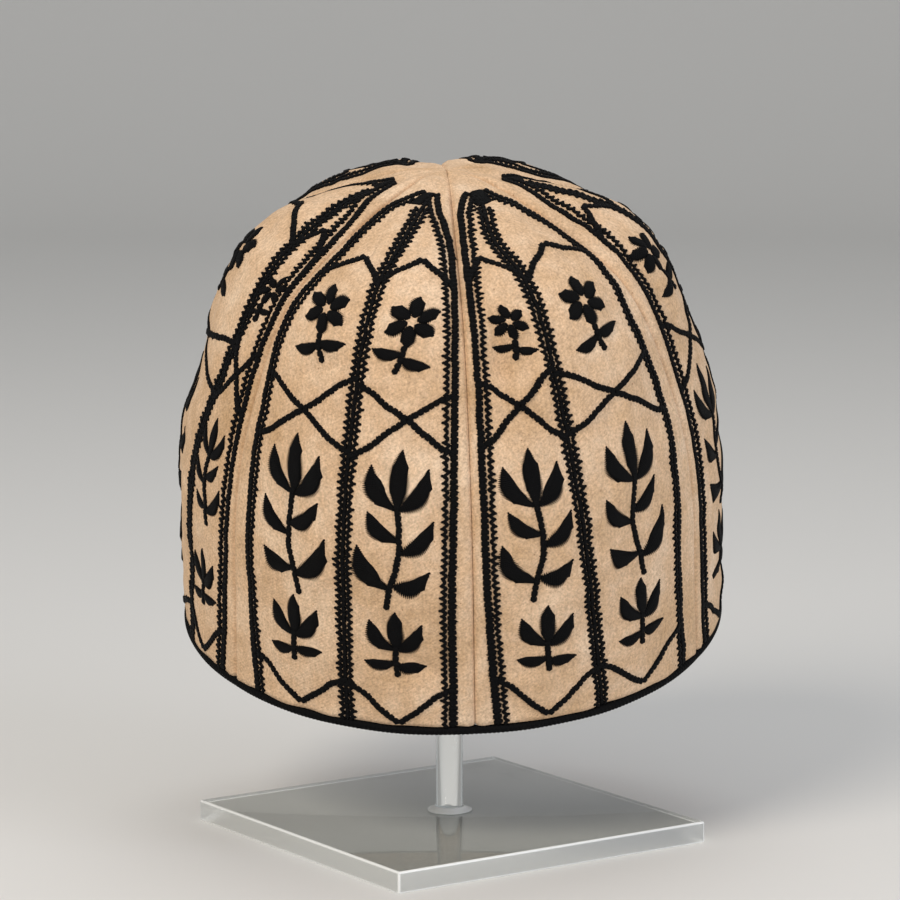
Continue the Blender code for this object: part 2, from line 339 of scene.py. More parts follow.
@dataclass(frozen=True)
class CottonThread:
    """Black plied cotton embroidery thread, dyed in the yarn.

    The dye takes nearly all the light. What is left is a cool grey gleam along each strand,
    broken up by the twist of its plies, and the colour is flecked at random with a painted
    gleam of a lighter cool grey.
    """

    dye: str = "#030303"
    # a painted gleam, flecked into the base colour at random
    gleam: str = "#09090b"
    roughness: float = 0.72
    ior: float = 1.5
    ply: float = 0.55 * MM       # real plies are 0.2 mm wide; drawn coarser so they show
    ply_turn: float = math.radians(35)
    ply_relief: float = 0.7      # share of the fuzz's relief
    fuzz: float = 0.6 * MM
    relief: float = 0.12 * MM
    bump: float = 0.8
    gloss: float = 0.09
    sheen: Pair = (0.005, 0.5)

    def build(self) -> Material:
        """Make the material."""
        made, tree, shader = new_material("black_cotton_thread")
        solid = add_node(tree, "TexCoord", {}, "Object")
        turned = add_node(tree, "Mapping", {
            "Rotation": (0.0, 0.0, self.ply_turn), "Vector": solid.node.outputs["UV"],
        })
        plies = add_node(tree, "TexWave", {
            "Scale": math.pi / 10 / self.ply, "Distortion": 0.8, "Detail": 1.0, "Vector": turned,
        }, "Fac")
        fuzz = add_node(tree, "TexNoise", {"Scale": 1 / self.fuzz, "Detail": 3.0, "Vector": solid})
        # the base colour mixes the dye with a painted gleam at random
        colour = add_node(tree, "Mix", {
            "data_type": "RGBA", 0: fuzz, 6: linear(self.dye), 7: linear(self.gleam),
        }, 2)
        height = add_node(tree, "Math", {
            "operation": "MULTIPLY_ADD", 0: plies, 1: self.ply_relief, 2: fuzz,
        })
        relief = add_node(tree, "Bump", {
            "Strength": self.bump, "Distance": self.relief, "Height": height,
        })
        tree.links.new(colour, shader.inputs["Base Color"])
        tree.links.new(relief, shader.inputs["Normal"])
        shader.inputs["Roughness"].default_value = self.roughness
        shader.inputs["IOR"].default_value = self.ior
        shader.inputs["Specular IOR Level"].default_value = self.gloss
        shader.inputs["Sheen Weight"].default_value = self.sheen[0]
        shader.inputs["Sheen Roughness"].default_value = self.sheen[1]
        return made


class AcrylicCut(Enum):
    """How a face of the acrylic was made: its name, its roughness and its clarity."""

    CAST = ("cast", 0.02, 1.0)
    SAWN = ("sawn", 0.28, 0.72)
    CEMENT = ("cement", 0.4, 0.55)
    # mostly opaque white: a painted highlight drawing the broken edges as bright lines
    BROKEN_HIGHLIGHT = ("broken_edge_painted_highlight", 0.2, 0.25)


@dataclass(frozen=True)
class Acrylic:
    """Clear cast PMMA.

    Its cast faces are optically clear. Its sawn and flame-polished edges catch the light and
    keep a faint satin drag from the blade, and dried cement is milky. The small broken edges
    are made mostly opaque white, a painted highlight that draws them as bright lines.
    """

    cut: AcrylicCut = AcrylicCut.CAST
    tint: str = "#fafcfb"
    ior: float = 1.49
    saw_pitch: float = 1.6 * MM
    wave: float = 14 * MM        # cast sheet is flat but for a slow waviness of about this length
    rubbing: float = 0.08        # how much rougher its most handled places are
    shadow: str = "#f4f6f5"

    def build(self) -> Material:
        """Make the material."""
        name, roughness, clarity = self.cut.value
        made, tree, shader = new_material(f"clear_acrylic_{name}")
        shader.inputs["Base Color"].default_value = linear(self.tint)
        shader.inputs["IOR"].default_value = self.ior
        shader.inputs["Transmission Weight"].default_value = clarity
        length = self.wave if self.cut is AcrylicCut.CAST else self.saw_pitch
        place = add_node(tree, "TexCoord", {}, "Object")
        drag = add_node(tree, "TexNoise", {"Scale": 1 / length, "Detail": 5.0, "Vector": place})
        wear = (drag, 0.45, 0.8, roughness, roughness + self.rubbing)
        rubbed = add_node(tree, "MapRange", dict(zip(RANGE, wear)))
        tree.links.new(rubbed, shader.inputs["Roughness"])
        self.let_light_through(tree, shader)
        return made

    def let_light_through(self, tree: NodeTree, shader: Node) -> None:
        """Let the lamps shine through the acrylic on to what lies under it."""
        in_shadow = add_node(tree, "LightPath", {}, "Is Shadow Ray")
        clear = add_node(tree, "BsdfTransparent", {"Color": linear(self.shadow)})
        either = add_node(tree, "MixShader", {0: in_shadow, 1: shader.outputs[0], 2: clear})
        tree.links.new(either, tree.nodes["Material Output"].inputs["Surface"])


@dataclass(frozen=True)
class StudioPaper:
    """Matt pale grey background paper, rolled out seamlessly under the part."""

    colour: str = "#d9d8d6"
    roughness: float = 0.75
    tooth_scale: float = 900.0   # bumps to a metre
    tooth_height: float = 0.1 * MM
    bump: float = 0.1

    def build(self) -> Material:
        """Make the material."""
        made, tree, shader = new_material("studio_paper")
        place = add_node(tree, "TexCoord", {}, "Object")
        tooth = add_node(tree, "TexNoise", {"Scale": self.tooth_scale, "Detail": 2.0, "Vector": place})
        relief = add_node(tree, "Bump", {
            "Strength": self.bump, "Distance": self.tooth_height, "Height": tooth,
        })
        tree.links.new(relief, shader.inputs["Normal"])
        shader.inputs["Base Color"].default_value = linear(self.colour)
        shader.inputs["Roughness"].default_value = self.roughness
        return made


# The crown's form

@dataclass(frozen=True)
class Station:
    """One height of the crown's profile: radius at a gore's middle, and how deep seams sink."""

    height: float
    radius: float
    seam_sink: float


@dataclass(frozen=True)
class Column:
    """The lattice lines of one column, as shares across it and millimetres up from the hem."""

    arch_peak: Pair
    arch_ends: Pair
    upper_ends: Pair
    crossing: Pair
    lower_ends: Pair
    point_ends: Pair
    point: Pair


@dataclass(frozen=True)
class Gore:
    """One gore: its angle, the depth of its first seam, its stitched lines, tip and columns.

    The middle line is given as shares across the gore at MIDDLE_AT, and the borders as
    millimetres in from the seams at INSET_AT. Either side of the tip closes with its own law.
    """

    name: str
    span_deg: float
    seam_depth: float
    middle: tuple[float, ...]
    left_inset: tuple[float, ...]
    right_inset: tuple[float, ...]
    tip_share: float
    tip_width: float
    tip_along: float
    closing: Pair
    columns: tuple[Column, Column]


@dataclass(frozen=True)
class Dent:
    """A round dent: its place on a gore, its half sizes and its depth inward."""

    gore: int
    across: float
    along: float
    half_across: float
    half_along: float
    depth: float


@dataclass(frozen=True)
class Crease:
    """A soft line pressed in, or pushed out where its depth is negative."""

    gore: int
    start: Pair
    end: Pair
    width: float
    depth: float


PROFILE = (
    Station(0.0000, 0.0957, 0.0006),
    Station(0.0300, 0.0955, 0.0014),
    Station(0.0600, 0.0950, 0.0020),
    Station(0.0850, 0.0916, 0.0024),
    Station(0.1070, 0.0852, 0.0030),
    Station(0.1260, 0.0778, 0.0038),
    Station(0.1395, 0.0690, 0.0044),
    Station(0.1478, 0.0590, 0.0046),
    Station(0.1542, 0.0460, 0.0042),
    Station(0.1589, 0.0320, 0.0033),
    Station(0.1622, 0.0180, 0.0019),
    Station(0.1643, 0.0070, 0.0007),
    Station(0.1645, 0.0000, 0.0000),
)

# distances up from the hem at which the gores' middle lines and insets are given
MIDDLE_AT = (0.0, 0.066, 0.133, 0.160, 0.180)
INSET_AT = (0.0, 0.050, 0.100, 0.135, 0.160, 0.185)
CLOSING_LENGTH = 0.026       # distance below a tip over which its borders leave the seams

BROAD = Column(
    (0.58, 167.0), (157, 156), (118.5, 123.5), (0.51, 109.7), (96.5, 98.7), (18, 17), (0.53, 4.5)
)
EVEN = Column(
    (0.50, 169.2), (158, 160), (121.6, 119.8), (0.54, 111.5), (97.8, 100), (16.3, 16), (0.50, 3.1)
)
NARROW = Column(
    (0.34, 171.4), (162, 159), (123.8, 125.6), (0.49, 114.8), (102, 101.8), (19.4, 17), (0.46, 4.0)
)
WIDE = Column(
    (0.47, 169.2), (157, 159.5), (123.8, 120), (0.48, 112.0), (102.7, 97.8), (18, 19), (0.43, 5.0)
)
TALL = Column(
    (0.52, 171.8), (161, 161), (122.5, 121), (0.51, 111.0), (99.0, 98.5), (17, 17.5), (0.49, 4.0)
)

GORES = (
    Gore("gore_1", 59, 1.0, (0.470, 0.405, 0.362, 0.358, 0.300),
         (8, 4.8, 4, 3.6, 2.8, 2.4), (10.5, 13, 9, 9, 2.6, 2.2),
         0.455, 6.6, 0.2000, (9.0, 2.2), (NARROW, WIDE)),
    Gore("gore_2", 61, 1.0, (0.44, 0.46, 0.475, 0.475, 0.45),
         (7, 5.4, 5.8, 7.2, 8.2, 6.6), (7, 6.5, 5.5, 5, 4.5, 3.6),
         0.42, 3.4, 0.2000, (2.5, 2.5), (TALL, EVEN)),
    Gore("gore_3", 61, 0.6, (0.49, 0.48, 0.49, 0.49, 0.50),
         (8, 7.5, 8, 9.5, 9, 5.5), (9, 7.5, 6, 5, 4.6, 4.2),
         0.52, 3.4, 0.1935, (2.0, 2.4), (WIDE, TALL)),
    Gore("gore_4", 61, 1.0, (0.51, 0.50, 0.50, 0.50, 0.49),
         (9, 7, 6, 5, 4.6, 4.2), (8, 7.5, 8, 9.5, 9, 5.5),
         0.47, 3.4, 0.1945, (2.4, 2.0), (BROAD, EVEN)),
    Gore("gore_5", 61, 0.7, (0.66, 0.69, 0.80, 0.75, 0.66),
         (8, 7, 6, 5, 4.4, 3.6), (8, 4.5, 3.4, 3.0, 2.6, 4.4),
         0.58, 3.6, 0.2010, (2.5, 2.0), (EVEN, TALL)),
    Gore("gore_6", 57, 1.0, (0.535, 0.530, 0.533, 0.533, 0.575),
         (13, 9, 7, 3.6, 4.9, 3.2), (7.5, 7.2, 5.2, 3.4, 2.2, 1.9),
         0.640, 3.8, 0.2005, (6.0, 1.9), (BROAD, EVEN)),
)

DENTS = (
    Dent(0, 0.17, 0.131, 0.16, 0.017, 0.0036),
    Dent(0, 0.27, 0.117, 0.12, 0.012, -0.0012),
    Dent(0, 0.62, 0.052, 0.25, 0.030, 0.0010),
    Dent(1, 0.48, 0.157, 0.48, 0.036, -0.0017),
    Dent(1, 0.48, 0.088, 0.40, 0.022, -0.0003),
    Dent(1, 0.70, 0.050, 0.25, 0.026, 0.0012),
    Dent(1, 1.00, 0.180, 0.60, 0.030, 0.0022),
    Dent(2, 0.00, 0.180, 0.60, 0.030, 0.0022),
    Dent(2, 0.45, 0.135, 0.30, 0.024, 0.0020),
    Dent(2, 0.25, 0.050, 0.22, 0.026, 0.0012),
    Dent(2, 1.00, 0.168, 0.45, 0.022, 0.0025),
    Dent(3, 0.00, 0.168, 0.45, 0.022, 0.0025),
    Dent(3, 0.60, 0.120, 0.26, 0.022, 0.0022),
    Dent(3, 0.75, 0.035, 0.20, 0.020, 0.0012),
    Dent(4, 0.40, 0.157, 0.40, 0.036, -0.0023),
    Dent(4, 0.38, 0.097, 0.38, 0.022, 0.0024),
    Dent(5, 0.37, 0.124, 0.24, 0.012, 0.0014),
    Dent(5, 0.79, 0.023, 0.18, 0.014, 0.0012),
)

CREASES = (
    Crease(0, (0.135, 0.147), (0.165, 0.125), 2.0 * MM, 1.3 * MM),
    Crease(0, (0.210, 0.141), (0.215, 0.119), 2.8 * MM, -1.5 * MM),
    Crease(0, (0.270, 0.136), (0.275, 0.117), 1.9 * MM, 0.9 * MM),
    Crease(0, (0.085, 0.157), (0.105, 0.143), 2.0 * MM, 0.9 * MM),
    Crease(0, (0.150, 0.112), (0.320, 0.108), 2.4 * MM, 0.5 * MM),
    Crease(0, (0.480, 0.150), (0.560, 0.143), 2.2 * MM, 0.5 * MM),
    Crease(1, (0.150, 0.150), (0.190, 0.120), 2.4 * MM, 1.0 * MM),
    Crease(1, (0.250, 0.147), (0.290, 0.118), 3.0 * MM, -0.9 * MM),
    Crease(1, (0.600, 0.100), (0.760, 0.090), 2.6 * MM, 0.7 * MM),
    Crease(2, (0.300, 0.150), (0.560, 0.138), 2.6 * MM, 0.9 * MM),
    Crease(2, (0.200, 0.060), (0.340, 0.052), 2.6 * MM, 0.6 * MM),
    Crease(3, (0.500, 0.135), (0.700, 0.124), 2.6 * MM, 1.0 * MM),
    Crease(3, (0.700, 0.042), (0.820, 0.036), 2.4 * MM, 0.6 * MM),
    Crease(4, (0.380, 0.165), (0.560, 0.152), 2.4 * MM, 0.8 * MM),
    Crease(4, (0.860, 0.150), (0.900, 0.122), 2.4 * MM, 0.8 * MM),
    Crease(5, (0.260, 0.121), (0.460, 0.127), 1.7 * MM, 0.7 * MM),
    Crease(5, (0.280, 0.130), (0.430, 0.133), 2.4 * MM, -0.5 * MM),
    Crease(5, (0.700, 0.030), (0.890, 0.021), 2.2 * MM, 0.7 * MM),
    Crease(5, (0.600, 0.128), (0.780, 0.124), 2.0 * MM, 0.4 * MM),
)


@dataclass
class Crown:
    """The cap's outer face as a surface, on the cap's lean over the stand.

    A place on it is a gore's number, a share across that gore and a distance along the
    profile from the hem. Depths run inward along the profile's own normal.
    """

    lean_forward: float = math.radians(16.7)
    lean_left: float = math.radians(0.8)
    front_seam_turn: float = math.radians(4.3)
    pivot_on_cap: float = 0.100
    pivot_height: float = 0.1646
    cloth_edge: float = 0.0023
    cloth_thickness: float = 0.0024
    seam_gap: float = 0.12 * MM
    seam_gap_limit: float = 0.45     # the sine of the most that half a seam's gap turns
    tip_radius: float = 0.25 * MM
    least_radius: float = 0.1 * MM                   # taken for a seam's gap
    least_width_radius: float = 0.01 * MM            # taken for a gore's width
    groove: Pair = (1.1 * MM, 0.7 * MM)              # depth and reach
    welt: Three = (0.30 * MM, 2.9 * MM, 1.1 * MM)    # height, place and reach
    stitch_pull: Pair = (0.55 * MM, 3.2 * MM)        # depth and reach
    ripple: float = 0.32 * MM
    ripple_lengths: Pair = (26 * MM, 11 * MM)
    ripple_stretch: Pair = (0.7, 1.5)
    ripple_waves: int = 7
    ripple_hold: int = 6            # how sharply ripples die out at the seams
    narrow_gore: float = 20 * MM    # a gore narrower than this has shallower grooves and welts
    meeting_back: float = 0.008     # how far behind the axis the seams meet
    meeting_reach: float = 0.055    # radius within which the crown is drawn back with them
    slope_step: float = 0.5 * MM
    normal_steps: Pair = (0.004, 0.4 * MM)   # a share across, and along
    lengths: Array = field(init=False)
    to_world: Matrix = field(init=False)

    def __post_init__(self) -> None:
        """Work out the profile's lengths and the cap's placement."""
        heights = np.array([s.height for s in PROFILE])
        radii = np.array([s.radius for s in PROFILE])
        steps = np.hypot(np.diff(heights), np.diff(radii))
        self.lengths = np.concatenate([[0.0], np.cumsum(steps)])
        plate_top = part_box("stand_base")[1].z
        lean = Matrix.Rotation(-self.lean_left, 4, "Y") @ Matrix.Rotation(self.lean_forward, 4, "X")
        raised = Matrix.Translation((0, 0, plate_top + self.pivot_height))
        self.to_world = raised @ lean @ Matrix.Translation((0, 0, -self.pivot_on_cap))

    @property
    def top(self) -> float:
        """The profile's whole length."""
        return float(self.lengths[-1])

    def smooth(self, along: Array, name: str) -> Array:
        """Read a smooth curve through one value of the profile's stations."""
        return smooth_through(self.lengths, [getattr(s, name) for s in PROFILE], along)

    def width(self, gore: int, along: Array) -> Array:
        """The gore's width from seam to seam at a distance along the profile."""
        radius = np.maximum(self.smooth(along, "radius"), self.least_width_radius)
        return math.radians(GORES[gore].span_deg) * radius

    def flat(self, gore: int, across: Array, along: Array) -> Array:
        """Turn shares across a gore and distances along it into flat places."""
        return np.stack([(across - 0.5) * self.width(gore, along), along], axis=-1)

    def middle(self, gore: int, along: Array) -> Array:
        """The share across the gore where its middle line runs."""
        tip = GORES[gore].tip_along
        known = (*GORES[gore].middle, GORES[gore].tip_share)
        return smooth_through((*MIDDLE_AT, tip), known, np.minimum(along, tip))

    def border(self, gore: int, along: Array, side: int) -> Array:
        """Where a gore's stitched border runs.

        Args:
            gore: The gore's number.
            along: Distances along the profile.
            side: Minus one for the left border, one for the right.

        Returns:
            The border's share across the gore.
        """
        made = GORES[gore]
        inset, closing = (
            (made.left_inset, made.closing[0]) if side < 0 else (made.right_inset, made.closing[1])
        )
        width = self.width(gore, along)
        held = np.clip(along, 0, INSET_AT[-1])
        from_seam = smooth_through(INSET_AT, inset, held) * MM / width
        beside_seam = from_seam if side < 0 else 1.0 - from_seam
        at_tip = made.tip_share + side * made.tip_width / 2 * MM / width
        near = np.clip(1 - (made.tip_along - along) / CLOSING_LENGTH, 0, 1) ** closing
        return beside_seam + (at_tip - beside_seam) * near

    def sink(self, gore: int, across: Array, along: Array) -> Array:
        """How far a gore's surface sinks towards its nearer seam."""
        here, following = GORES[gore].seam_depth, GORES[(gore + 1) % len(GORES)].seam_depth
        share = np.where(across < 0.5, here, following)
        return share * self.smooth(along, "seam_sink") * (2 * across - 1) ** 2

    def relief(self, gore: int, across: Array, along: Array) -> Array:
        """How far the cloth lies under the plain profile.

        Args:
            gore: The gore's number.
            across: Shares across the gore.
            along: Distances along the profile.

        Returns:
            The depth at each place.
        """
        width = self.width(gore, along)
        x = across * width
        depth = self.sink(gore, across, along) + self.dented(gore, across, along)
        depth = depth + self.creased(gore, x, along, width)
        inside = 1.0 - np.abs(2 * across - 1) ** self.ripple_hold
        for number, length in enumerate(self.ripple_lengths):
            seed = gore * self.ripple_waves + number
            depth = depth + self.waves(seed, x, along, length) * inside / (1 + number)
        pull, reach = self.stitch_pull
        for line in (self.border(gore, along, -1), self.border(gore, along, 1), self.middle(gore, along)):
            depth = depth + pull * np.exp(-((across - line) * width / reach) ** 2)
        to_seam = np.minimum(across, 1 - across) * width
        deep, narrow = self.groove
        height, place, spread = self.welt
        fade = np.clip(width / self.narrow_gore, 0, 1)
        depth = depth + deep * fade * np.exp(-((to_seam / narrow) ** 2))
        return depth - height * fade * np.exp(-(((to_seam - place) / spread) ** 2))

    @staticmethod
    def dented(gore: int, across: Array, along: Array) -> Array:
        """How far a gore's dents press in."""
        depth = np.zeros(np.broadcast(across, along).shape)
        for dent in DENTS:
            if dent.gore == gore:
                u = (across - dent.across) / dent.half_across
                v = (along - dent.along) / dent.half_along
                depth = depth + dent.depth * np.maximum(0.0, 1.0 - u * u - v * v) ** 2
        return depth

    @staticmethod
    def creased(gore: int, x: Array, along: Array, width: Array) -> Array:
        """How far a gore's creases press in, at distances across it and along it."""
        depth = np.zeros(np.broadcast(x, along).shape)
        for crease in CREASES:
            if crease.gore == gore:
                x0, x1 = crease.start[0] * width, crease.end[0] * width
                run, rise = x1 - x0, crease.end[1] - crease.start[1]
                t = ((x - x0) * run + (along - crease.start[1]) * rise) / (run**2 + rise**2)
                t = np.clip(t, 0, 1)
                off = np.hypot(x - x0 - t * run, along - crease.start[1] - t * rise)
                depth = depth + crease.depth * np.exp(-(off / crease.width) ** 2)
        return depth

    def waves(self, seed: int, x: Array, y: Array, length: float) -> Array:
        """Soft unevenness of hand-sewn cloth, as a sum of seeded waves.

        Args:
            seed: Chooses the waves.
            x: Distance across.
            y: Distance along.
            length: The waves' usual length.

        Returns:
            A height at each place.
        """
        random = default_rng(seed)
        total = np.zeros(np.broadcast(x, y).shape)
        least, most = self.ripple_stretch
        for _ in range(self.ripple_waves):
            turn, phase, stretch = random.uniform((0, 0, least), (math.pi, 2 * math.pi, most))
            way = x * math.cos(turn) + y * math.sin(turn)
            total += np.sin(2 * math.pi * way / (length * stretch) + phase)
        return total * self.ripple / math.sqrt(self.ripple_waves)

    def on_cap(self, gore: int, across: Array, along: Array, depth: Array) -> Array:
        """A place at a depth under the plain profile, on the cap's own axes."""
        radius, height = self.smooth(along, "radius"), self.smooth(along, "height")
        low, high = (np.clip(along + sign * self.slope_step, 0, self.top) for sign in (-1, 1))
        run = self.smooth(high, "radius") - self.smooth(low, "radius")
        rise = self.smooth(high, "height") - self.smooth(low, "height")
        size = np.hypot(run, rise)
        radius = radius - rise / size * depth
        height = height + run / size * depth
        start = self.front_seam_turn + math.radians(sum(g.span_deg for g in GORES[:gore]))
        half_gap = self.seam_gap / 2 / np.maximum(radius, self.least_radius)
        gap = np.arcsin(np.clip(half_gap, 0, self.seam_gap_limit))
        angle = start + gap + (math.radians(GORES[gore].span_deg) - 2 * gap) * across
        x, y = radius * np.sin(angle), -radius * np.cos(angle)
        near = np.maximum(0.0, 1 - (radius / self.meeting_reach) ** 2)
        moved = y + self.meeting_back * near**2
        height = height + self.dome(np.hypot(x, moved)) - self.dome(np.abs(radius))
        return np.stack([x, moved, height], axis=-1)

    def dome(self, radius: Array) -> Array:
        """The plain profile's height at a radius, for places near the crown's top."""
        near = PROFILE[:3:-1]
        held = np.minimum(radius, self.meeting_reach + 2 * self.meeting_back)
        return smooth_through([s.radius for s in near], [s.height for s in near], held)

    def on_stand(self, places: Array) -> Array:
        """Move places from the cap's own axes to the stand."""
        turn = np.array(self.to_world.to_3x3())
        return places @ turn.T + np.array(self.to_world.translation)

    def face(self, gore: int, across: Array, along: Array) -> Array:
        """Places on the cloth's face, on the cap's own axes."""
        return self.on_cap(gore, across, along, self.relief(gore, across, along))

    def place(self, gore: int, across: Array, along: Array, lift: Array) -> Array:
        """Places lifted off the cloth's face along its true normal.

        Args:
            gore: The gore's number.
            across: Shares across the gore.
            along: Distances along the profile.
            lift: Height over the cloth.

        Returns:
            World places, one row each.
        """
        step, rise = self.normal_steps
        across, along = np.clip(across, 0, 1), np.clip(along, 0, self.top)
        left, right = (np.clip(across + sign * step, 0, 1) for sign in (-1, 1))
        low, high = (np.clip(along + sign * rise, 0, self.top) for sign in (-1, 1))
        sideways = self.face(gore, right, along) - self.face(gore, left, along)
        upward = self.face(gore, across, high) - self.face(gore, across, low)
        normal = np.cross(sideways, upward)
        normal /= np.linalg.norm(normal, axis=-1, keepdims=True)
        return self.on_stand(self.face(gore, across, along) + normal * lift[..., None])


# Cloth

@dataclass
class ClothGores:
    """The sewn gores as fine walls with seams, welts and soft creases."""

    crown: Crown
    column_deg: float = 0.78
    rows: int = 160
    crowding: float = 0.90       # how strongly columns crowd towards the seams

    def build(self, cloth: Material) -> None:
        """Build every gore with the cloth's finish."""
        for index, gore in enumerate(GORES):
            piece = self.wall(index, f"{gore.name}_cloth", cloth)
            finish_piece(piece, "cap_cloth", gore.name)

    def wall(self, index: int, name: str, cloth: Material) -> Object:
        """One gore's wall, closed round its rim.

        Args:
            index: The gore's number.
            name: The piece's name.
            cloth: Its finish.

        Returns:
            The wall.
        """
        crown = self.crown
        columns = int(GORES[index].span_deg / self.column_deg)
        spread = np.linspace(-1, 1, columns) * self.crowding * math.pi / 2
        across = 0.5 + 0.5 * np.sin(spread) / math.sin(self.crowding * math.pi / 2)
        along = np.linspace(crown.cloth_edge, crown.top - crown.tip_radius, self.rows)
        along, across = np.meshgrid(along, across, indexing="ij")
        depth = crown.relief(index, across, along)
        outer = crown.on_cap(index, across, along, depth)
        inner = crown.on_cap(index, across, along, depth + crown.cloth_thickness)
        points = crown.on_stand(np.concatenate([outer.reshape(-1, 3), inner.reshape(-1, 3)]))
        front = grid_faces(self.rows, columns)
        back = grid_faces(self.rows, columns, first=self.rows * columns)[:, ::-1]
        faces = np.concatenate([front, back, self.rim(columns)])
        flat = crown.flat(index, across, along).reshape(-1, 2)
        return mesh_object(name, points, faces, cloth, np.concatenate([flat, flat]))

    def rim(self, columns: int) -> Array:
        """Quads that close a wall round its edge, by its vertices across."""
        rows, count = self.rows, self.rows * columns
        bottom = np.arange(columns)
        right = np.arange(1, rows) * columns + columns - 1
        top = (rows - 1) * columns + np.arange(columns - 2, -1, -1)
        left = np.arange(rows - 2, 0, -1) * columns
        loop = np.concatenate([bottom, right, top, left])
        following = np.roll(loop, -1)
        return np.stack([following, loop, loop + count, following + count], axis=-1)


# Stitching

@dataclass
class Strands:
    """Short rounded threads laid on one gore, collected and then built as one mesh.

    Places are in metres: x across from the gore's centre line, y along its profile.
    """

    crown: Crown
    gore: int
    ring_at: Pair = (0.28, 0.72)                            # shares of its length
    corner: tuple[float, ...] = (-1.0, -0.55, 0.55, 1.0)    # shares of its half width
    rise: tuple[float, ...] = (0.0, 1.0, 1.0, 0.0)          # shares of its height
    sunk: float = 0.12 * MM
    uv_shift: float = 0.37 * MM      # so that neighbouring threads do not share their twist
    starts: list = field(default_factory=list)
    ends: list = field(default_factory=list)
    shapes: list = field(default_factory=list)

    def lay(
        self, start: Array, end: Array, width: float | Array,
        height: float | Array, bend: float | Array = 0.0,
    ) -> None:
        """Lay threads from starts to ends.

        Args:
            start: Places where they start, one row each.
            end: Places where they end.
            width: Their width at the middle, one for all or one each.
            height: Their height at the middle, given likewise.
            bend: How far their middle swings to the left, given likewise.
        """
        start, end = np.atleast_2d(start), np.atleast_2d(end)
        self.starts.append(start)
        self.ends.append(end)
        each = np.broadcast_arrays(width, height, bend, np.zeros(len(start)))
        self.shapes.append(np.stack(each[:3], axis=1))

    def to_gore(self, flat: Array) -> tuple[Array, Array]:
        """Turn flat places into shares across the gore and distances along it."""
        along = flat[..., 1]
        return 0.5 + flat[..., 0] / self.crown.width(self.gore, along), along

    def build(self, name: str, thread: Material) -> Object:
        """Build all the threads as one mesh.

        Args:
            name: The object's name.
            thread: The finish.

        Returns:
            The stitching's object.
        """
        start, end = np.concatenate(self.starts), np.concatenate(self.ends)
        width, height, bend = np.concatenate(self.shapes).T
        way = end - start
        length = np.maximum(np.linalg.norm(way, axis=1), TINY)
        way = way / length[:, None]
        side = np.stack([-way[:, 1], way[:, 0]], axis=1)
        ring_at, corner, rise = map(np.array, (self.ring_at, self.corner, self.rise))
        centre = start[:, None] + way[:, None] * (length[:, None] * ring_at)[..., None]
        centre = centre + side[:, None] * (bend[:, None] * np.sin(math.pi * ring_at))[..., None]
        half = width[:, None] / 2 * corner
        ring = centre[:, :, None] + side[:, None, None] * half[:, None, :, None]
        lift = height[:, None] * rise - self.sunk
        tips = np.stack([start, end], axis=1)
        flat = np.concatenate([ring.reshape(len(start), -1, 2), tips], axis=1)
        lifts = np.concatenate([lift, lift, np.zeros((len(start), 2))], axis=1)
        across, along = self.to_gore(flat)
        points = self.crown.place(self.gore, across, along, lifts).reshape(-1, 3)
        first = np.arange(len(start))[:, None, None] * flat.shape[1]
        faces = (first + self.pattern()).reshape(-1, 4)
        run = np.concatenate([np.repeat(ring_at, 4), [0.0, 1.0]])[None] * length[:, None]
        round_way = np.concatenate([np.tile(corner, 2), [0.0, 0.0]])[None] * width[:, None] / 2
        shift = np.arange(len(start))[:, None] * self.uv_shift
        uvs = np.stack([run + shift, round_way + 0 * run], axis=-1).reshape(-1, 2)
        return mesh_object(name, points, faces, thread, uvs)

    @staticmethod
    def pattern() -> Array:
        """Faces of one thread: two rings of four places, then its two tips."""
        faces = []
        for i in range(4):
            j = (i + 1) % 4
            faces += [(i, 4 + i, 4 + j, j), (8, i, j, j), (9, 4 + j, 4 + i, 4 + i)]
        return np.array(faces)


@dataclass(frozen=True)
class Leaf:
    """A satin-stitched leaf or petal, from its base to its tip, in millimetres."""

    base: Pair
    tip: Pair
    width: float
    bend: float = 0.0


@dataclass(frozen=True)
class Stem:
    """A chain-stitched stem through a few points, in millimetres."""

    points: tuple[Pair, ...]


def rosette(centre: Pair, inner: float, outer: float, count: int, width: float) -> tuple[Leaf, ...]:
    """Petals set evenly round a centre.

    Args:
        centre: The flower's centre, in millimetres.
        inner: Distance from the centre to the petals' bases.
        outer: Distance to their tips.
        count: How many petals.
        width: Their width.

    Returns:
        The petals.
    """
    petals = []
    for number in range(count):
        turn = 2 * math.pi * number / count + math.pi / 2
        way = (math.cos(turn), math.sin(turn))
        base = (centre[0] + inner * way[0], centre[1] + inner * way[1])
        tip = (centre[0] + outer * way[0], centre[1] + outer * way[1])
        petals.append(Leaf(base, tip, width))
    return tuple(petals)


BLOSSOM = rosette((0.4, 4.0), 1.5, 8.4, 6, 5.9) + (
    Stem(((0.2, -3.6), (-0.3, -7.4), (-1.8, -12.0))),
    Leaf((-0.2, -6.4), (-9.6, -5.4), 4.4, 1.0),
    Leaf((-0.4, -7.4), (8.8, -9.6), 4.4, -1.0),
)

FLOWERING_STEM = (
    Stem(((-2.6, -25.0), (-1.2, -18.0), (1.2, -9.0), (1.2, 0.0), (0.0, 8.5))),
    Leaf((-0.6, 6.6), (-8.4, 20.0), 6.6, 2.9),
    Leaf((0.0, 7.0), (0.4, 25.0), 6.8, 0.0),
    Leaf((0.6, 6.6), (8.8, 19.6), 6.6, -2.9),
    Leaf((-1.2, -18.5), (-11.6, -5.0), 7.0, 3.4),
    Leaf((-0.6, -17.0), (10.8, -12.4), 6.6, -3.0),
    Leaf((1.5, -6.6), (11.4, 3.6), 6.0, -2.6),
    Leaf((1.4, -3.0), (-8.8, 5.6), 5.8, 2.4),
)

